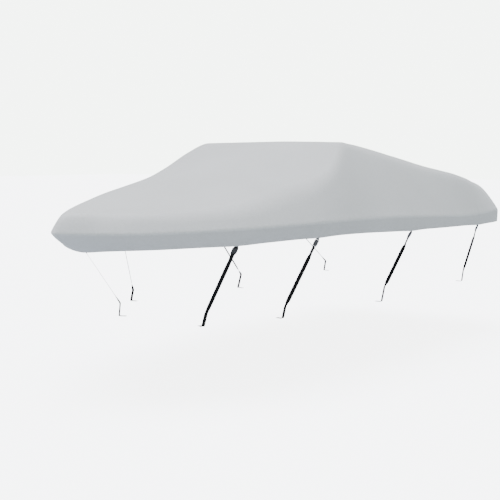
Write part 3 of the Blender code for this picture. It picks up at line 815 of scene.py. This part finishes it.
# ---------------------------------------------------------------- stitching of the webbing
# Each tab is sewn through the hem, and each strap's fold below the buckle through both layers,
# with a box of stitches crossed from corner to corner, as webbing that carries a load is.
def crossed_box(middle, across, along, out, half_width, half_length):
    """The four sides and two diagonals of a box of stitches, each as a run to sew."""
    corners = [middle + across * half_width * a + along * half_length * b
               for a, b in ((-1, -1), (1, -1), (1, 1), (-1, 1))]
    legs = [(0, 1), (1, 2), (2, 3), (3, 0), (0, 2), (1, 3)]
    return [[(corners[a], out), (corners[b], out)] for a, b in legs]


hem_boxes, fold_boxes = [], []
for lay in lays.values():
    skirt_way = lay.sewn
    across = lay.facing.cross(skirt_way).normalized()
    middle = lay.hem_outside - skirt_way * 0.0135 + lay.facing * 0.0003
    hem_boxes += crossed_box(middle, across, skirt_way, lay.facing, 0.0115, 0.0050)
    for way in (1.0, -1.0):
        middle = lay.at(0.0, PLUG_BAR + 0.030, way * (LAYER_HALF + WEB_THICKNESS / 2))
        fold_boxes += crossed_box(middle, lay.wide, lay.down, lay.out * way, 0.0110, 0.0130)
tab_stitching = sew("tab_stitching", hem_boxes)
tab_stitching.data.materials.append(bpy.data.materials["grey_thread"])
fold_stitching = sew("strap_fold_stitching", fold_boxes)
fold_stitching.data.materials.append(thread_material("black_thread", (0.045, 0.045, 0.047)))
for piece, slot in ((tab_stitching, "cover_cloth"), (fold_stitching, "black_webbing")):
    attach(piece, "root")

# ---------------------------------------------------------------- side-release buckles
# Moulded black acetal, in two halves. The socket hangs from the tab by its bar; the plug's two
# sprung arms hook into the windows in its sides, and the strap is folded round the plug's bar.
SOCKET_HALF, SOCKET_OUT = 0.0230, 0.0055
SOCKET_START, SOCKET_END = 0.0060, 0.0400
WINDOW_START, WINDOW_END = 0.0140, 0.0270
PLUG_HALF, PLUG_OUT, PLUG_START, PLUG_FACE = 0.0222, 0.0046, 0.04035, 0.0550


def moulded_block(name, low, high):
    """A block between two corners, across, along and out."""
    bpy.ops.object.select_all(action="DESELECT")
    middle = [(a + b) / 2 for a, b in zip(low, high)]
    bpy.ops.mesh.primitive_cube_add(size=1.0, location=middle)
    block = bpy.context.object
    block.name = name
    block.scale = [b - a for a, b in zip(low, high)]
    bpy.ops.object.transform_apply(location=True, rotation=False, scale=True)
    return block


def cut_across(piece, places, way=(0.0, 1.0, 0.0)):
    """Edge loops put in across the piece at the places along it."""
    only(piece)
    bpy.ops.object.mode_set(mode="EDIT")
    for place in places:
        bpy.ops.mesh.select_all(action="SELECT")
        bpy.ops.mesh.bisect(plane_co=[part * place for part in way], plane_no=way)
    bpy.ops.object.mode_set(mode="OBJECT")


def pick(piece, kind, test):
    """In edit mode, the piece's verts, edges or faces that pass the test are left selected."""
    only(piece)
    bpy.ops.object.mode_set(mode="EDIT")
    bpy.ops.mesh.select_mode(type=kind)
    bpy.ops.mesh.select_all(action="DESELECT")
    bpy.ops.object.mode_set(mode="OBJECT")
    data = piece.data
    if kind == "VERT":
        for vertex in data.vertices:
            vertex.select = test(vertex.co)
    elif kind == "FACE":
        for face in data.polygons:
            face.select = test(face.center, face.normal)
    bpy.ops.object.mode_set(mode="EDIT")


def done():
    bpy.ops.object.mode_set(mode="OBJECT")


def soften(piece, offset, segments, sharpness=35.0):
    """Rounds the piece's sharp edges as a mould does."""
    only(piece)
    bpy.ops.object.mode_set(mode="EDIT")
    bpy.ops.mesh.select_mode(type="EDGE")
    bpy.ops.mesh.select_all(action="DESELECT")
    bpy.ops.mesh.edges_select_sharp(sharpness=math.radians(sharpness))
    bpy.ops.mesh.bevel(offset=offset, segments=segments, affect="EDGES")
    bpy.ops.object.mode_set(mode="OBJECT")


def combine(piece, other, operation):
    """Cuts the other piece out of this one, or welds it on."""
    only(piece)
    join = piece.modifiers.new("join", "BOOLEAN")
    join.operation = operation
    join.object = other
    join.solver = "EXACT"
    bpy.ops.object.modifier_apply(modifier=join.name)
    bpy.data.objects.remove(other)


def bar_frame(name, start, end, half, slot_start, slot_end):
    """A flat frame with a slot across it, whose outer side is the bar for the webbing."""
    thin = 0.0017
    frame_piece = moulded_block(name, (-half, start, -thin), (half, end, thin))
    soften(frame_piece, 0.0012, 3)
    slot = moulded_block("slot_cutter", (-0.0172, slot_start, -0.01), (0.0172, slot_end, 0.01))
    combine(frame_piece, slot, "DIFFERENCE")
    return frame_piece


socket = moulded_block("socket_model", (-SOCKET_HALF, SOCKET_START, -SOCKET_OUT),
                       (SOCKET_HALF, SOCKET_END, SOCKET_OUT))
cut_across(socket, (0.0105, 0.0170, 0.0205, 0.0240, 0.0345))
pick(socket, "VERT", lambda co: 0.016 < co.y < 0.025)
bpy.ops.transform.resize(value=(0.955, 1.0, 1.0), center_override=(0.0, 0.0205, 0.0))
done()
pick(socket, "VERT", lambda co: co.y < 0.0065)
bpy.ops.transform.resize(value=(0.94, 1.0, 0.62), center_override=(0.0, 0.006, 0.0))
done()
pick(socket, "VERT", lambda co: co.y > 0.0395)
bpy.ops.transform.resize(value=(0.975, 1.0, 0.94), center_override=(0.0, 0.040, 0.0))
done()
for facing_out in (1.0, -1.0):
    pick(socket, "FACE", lambda centre, normal: normal.z * facing_out > 0.9
         and 0.0105 < centre.y < 0.0345)
    bpy.ops.mesh.inset(thickness=0.0045, depth=-0.0005)
    done()
soften(socket, 0.0011, 3)
hollow = moulded_block("hollow_cutter", (-0.0205, 0.0090, -0.0032), (0.0205, 0.0450, 0.0032))
soften(hollow, 0.0008, 2)
combine(socket, hollow, "DIFFERENCE")
window = moulded_block("window_cutter", (-0.0300, WINDOW_START, -0.0037),
                       (0.0300, WINDOW_END, 0.0037))
soften(window, 0.0016, 3)
combine(socket, window, "DIFFERENCE")
for ridge_at in (0.0172, 0.0205, 0.0238):
    ridge = moulded_block("ridge", (-0.0105, ridge_at - 0.0006, -0.0054),
                          (0.0105, ridge_at + 0.0006, 0.0054))
    middle_cut = moulded_block("ridge_cutter", (-0.02, ridge_at - 0.01, -0.0042),
                               (0.02, ridge_at + 0.01, 0.0042))
    combine(ridge, middle_cut, "DIFFERENCE")
    soften(ridge, 0.00035, 2)
    combine(socket, ridge, "UNION")
combine(socket, bar_frame("socket_bar", -0.0016, 0.0075, SOCKET_HALF - 0.0006, 0.0015, 0.0058),
        "UNION")

plug = moulded_block("plug_model", (-PLUG_HALF, PLUG_START, -PLUG_OUT),
                     (PLUG_HALF, PLUG_FACE, PLUG_OUT))
cut_across(plug, (0.0440, 0.0515))
pick(plug, "VERT", lambda co: co.y > 0.0545)
bpy.ops.transform.resize(value=(0.955, 1.0, 0.70), center_override=(0.0, 0.055, 0.0))
done()
soften(plug, 0.0010, 3)
for ridge_at in (0.0450, 0.0478, 0.0506):
    ridge = moulded_block("ridge", (-0.0150, ridge_at - 0.0006, -0.0050),
                          (0.0150, ridge_at + 0.0006, 0.0050))
    soften(ridge, 0.0004, 2)
    combine(plug, ridge, "UNION")
arm = moulded_block("arm", (0.0150, 0.0263, -0.0028), (0.0201, 0.0420, 0.0028))
pick(arm, "FACE", lambda centre, normal: normal.y < -0.9)
for reach in (0.0040, 0.0048, 0.0027):
    bpy.ops.mesh.extrude_region_move(TRANSFORM_OT_translate={"value": (0.0, -reach, 0.0)})
done()
pick(arm, "FACE", lambda centre, normal: normal.x > 0.9 and 0.0175 < centre.y < 0.0262)
bpy.ops.mesh.extrude_region_move(TRANSFORM_OT_translate={"value": (0.0022, 0.0, 0.0)})
done()
pick(arm, "VERT", lambda co: co.y < 0.0149)
bpy.ops.transform.resize(value=(0.45, 1.0, 0.9), center_override=(0.0160, 0.0148, 0.0))
done()
soften(arm, 0.0007, 2, 25.0)
mirror = arm.modifiers.new("other_arm", "MIRROR")
mirror.use_axis = (True, False, False)
apply_modifiers(arm)
combine(plug, arm, "UNION")
tongue = moulded_block("tongue", (-0.0030, 0.0270, -0.0026), (0.0030, 0.0420, 0.0026))
soften(tongue, 0.0006, 2)
combine(plug, tongue, "UNION")
combine(plug, bar_frame("plug_bar", 0.0530, 0.0623, PLUG_HALF - 0.0006, 0.0551, 0.0592), "UNION")


def buckle_material():
    """Spark-eroded black acetal: fine grain in the moulding, duller and dusty where handled."""
    nodes = Nodes("black_moulded_acetal")
    place = nodes.add("ShaderNodeTexCoord").outputs["Object"]
    grain = nodes.noise(place, 1500.0, 2.0, 0.6)
    handled = nodes.noise(place, 70.0, 4.0, 0.6)
    shade = nodes.remap(handled, 0.35, 0.75, 0.9, 1.7)
    nodes.link(nodes.scaled_color((0.009, 0.009, 0.0095), shade), nodes.shader.inputs["Base Color"])
    nodes.link(nodes.remap(handled, 0.3, 0.7, 0.36, 0.55), nodes.shader.inputs["Roughness"])
    nodes.link(nodes.bump(grain, 0.00012, 0.5), nodes.shader.inputs["Normal"])
    return nodes.material


buckle_finish = buckle_material()
for model in (socket, plug):
    only(model)
    bpy.ops.object.mode_set(mode="EDIT")
    bpy.ops.mesh.select_all(action="SELECT")
    bpy.ops.mesh.remove_doubles(threshold=0.00003)
    bpy.ops.mesh.normals_make_consistent(inside=False)
    bpy.ops.object.mode_set(mode="OBJECT")
    model.data.materials.clear()
    model.data.materials.append(buckle_finish)
    bpy.ops.object.shade_smooth_by_angle(angle=math.radians(32.0))
for label, lay in lays.items():
    wide = lay.wide if lay.wide.cross(lay.down).dot(lay.out) > 0 else -lay.wide
    carry = Matrix.Translation(lay.bar) @ Matrix((wide, lay.down, lay.out)).transposed().to_4x4()
    for kind, model in (("socket", socket), ("plug", plug)):
        mesh = model.data.copy()
        mesh.transform(carry)
        half = bpy.data.objects.new(f"buckle_{kind}_{label}", mesh)
        bpy.context.scene.collection.objects.link(half)
        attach(half, "root")
        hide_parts(f"{kind}_{label}")
for model in (socket, plug):
    bpy.data.objects.remove(model)

# ---------------------------------------------------------------- floor, light and camera
# A pale studio floor where the trailer's wheels would stand, soft light from all round, and the
# camera at a standing person's eye height off the port bow.
GROUND = -SUPPORT_HEIGHT
FLOOR_SIZE, FLOOR_GLOW, FLOOR_COLOR = 120.0, 5.2, (0.52, 0.56, 0.61)
bpy.ops.object.select_all(action="DESELECT")
bpy.ops.mesh.primitive_plane_add(size=FLOOR_SIZE, location=(0.0, 0.0, GROUND))
floor = bpy.context.object
floor.name = "studio_floor"
paint = Nodes("pale_floor")
floor_noise = paint.noise(paint.add("ShaderNodeTexCoord").outputs["Object"], 3.0, 3.0)
paint.link(paint.scaled_color(FLOOR_COLOR, paint.remap(floor_noise, 0.3, 0.7, 0.985, 1.0)),
           paint.shader.inputs["Base Color"])
paint.shader.inputs["Roughness"].default_value = 0.9
paint.shader.inputs["Specular IOR Level"].default_value = 0.1
paint.shader.inputs["Emission Color"].default_value = (1.0, 1.0, 1.0, 1.0)
in_view = paint.add("ShaderNodeLightPath")
paint.link(paint.math("MULTIPLY", in_view.outputs["Is Camera Ray"], FLOOR_GLOW),
           paint.shader.inputs["Emission Strength"])
floor.data.materials.append(paint.material)

SKY_LOW, SKY_HIGH, BACKDROP = 0.94, 1.54, 6.6
SKY_COLOR = (0.94, 1.0, 0.95, 1.0)
SUN_POWER, SUN_SPREAD, SUN_COLOR = 5.7, math.radians(46.0), (0.93, 0.91, 1.03)
SUN_WAY = Vector((0.6, -1.5, -8.0))
world = bpy.data.worlds.new("studio")
bpy.context.scene.world = world
world.use_nodes = True
sky = world.node_tree
way = sky.nodes.new("ShaderNodeTexCoord")
split = sky.nodes.new("ShaderNodeSeparateXYZ")
sky.links.new(way.outputs["Generated"], split.inputs[0])
height = sky.nodes.new("ShaderNodeMapRange")
height.inputs["To Min"].default_value = SKY_LOW
height.inputs["To Max"].default_value = SKY_HIGH
sky.links.new(split.outputs["Z"], height.inputs["Value"])
seen = sky.nodes.new("ShaderNodeLightPath")
strength = sky.nodes.new("ShaderNodeMix")
sky.links.new(seen.outputs["Is Camera Ray"], strength.inputs["Factor"])
sky.links.new(height.outputs["Result"], strength.inputs["A"])
strength.inputs["B"].default_value = BACKDROP
sky.links.new(strength.outputs["Result"], sky.nodes["Background"].inputs["Strength"])
sky.nodes["Background"].inputs["Color"].default_value = SKY_COLOR

bpy.ops.object.light_add(type="SUN", location=(0.0, 0.0, 6.0))
overhead = bpy.context.object
overhead.name = "overhead_softbox"
overhead.data.energy = SUN_POWER
overhead.data.angle = SUN_SPREAD
overhead.data.color = SUN_COLOR
overhead.rotation_euler = SUN_WAY.to_track_quat("-Z", "Y").to_euler()

EYE = (-7.1448, -5.0433, -0.1135)
LOOK_ROUND = math.radians(36.497)
LOOK_DOWN = math.radians(5.442)
LENS, FILM_WIDTH = 71.71, 36.0
camera = bpy.data.cameras.new("camera")
camera.lens = LENS
camera.sensor_width = FILM_WIDTH
holder = bpy.data.objects.new("camera", camera)
bpy.context.scene.collection.objects.link(holder)
holder.location = EYE
holder.rotation_euler = (math.pi / 2 - LOOK_DOWN, 0.0, LOOK_ROUND - math.pi / 2)
bpy.context.scene.camera = holder
